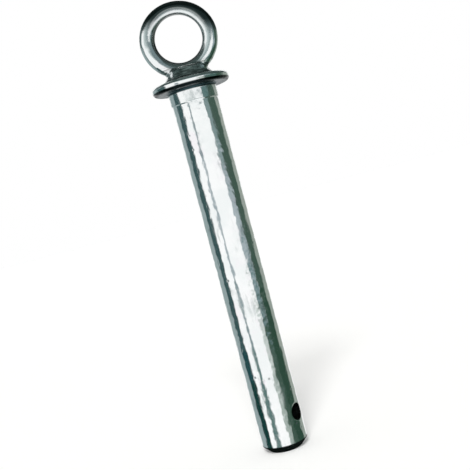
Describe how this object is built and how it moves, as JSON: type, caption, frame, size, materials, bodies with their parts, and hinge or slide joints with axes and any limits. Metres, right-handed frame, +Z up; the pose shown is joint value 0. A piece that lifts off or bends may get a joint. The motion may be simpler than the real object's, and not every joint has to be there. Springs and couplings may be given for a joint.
{
  "type": "support pin",
  "caption": "Forged steel support pin: plain round shank with a cross hole for a lynch pin, a rounded collar as a stop, and a fixed ring eye to pull it by.",
  "frame": {"origin": "centre of the foot's flat end face, where the pin stands on a floor", "axes": "+Z up the shank from the foot to the eye; Y along the bore of the eye, which faces -Y; X across the ring of the eye"},
  "size_m": [0.032, 0.032, 0.1884],
  "materials": {
    "zinc_plated_steel": "bright zinc plate over forged steel: smooth and mirror-like with a cool blue-green cast, darker and duller in the forged hollows round the hub, and fine handling marks along the shank"
  },
  "bodies": {
    "root": {"eye_pin": "zinc_plated_steel"}
  },
  "joints": []
}
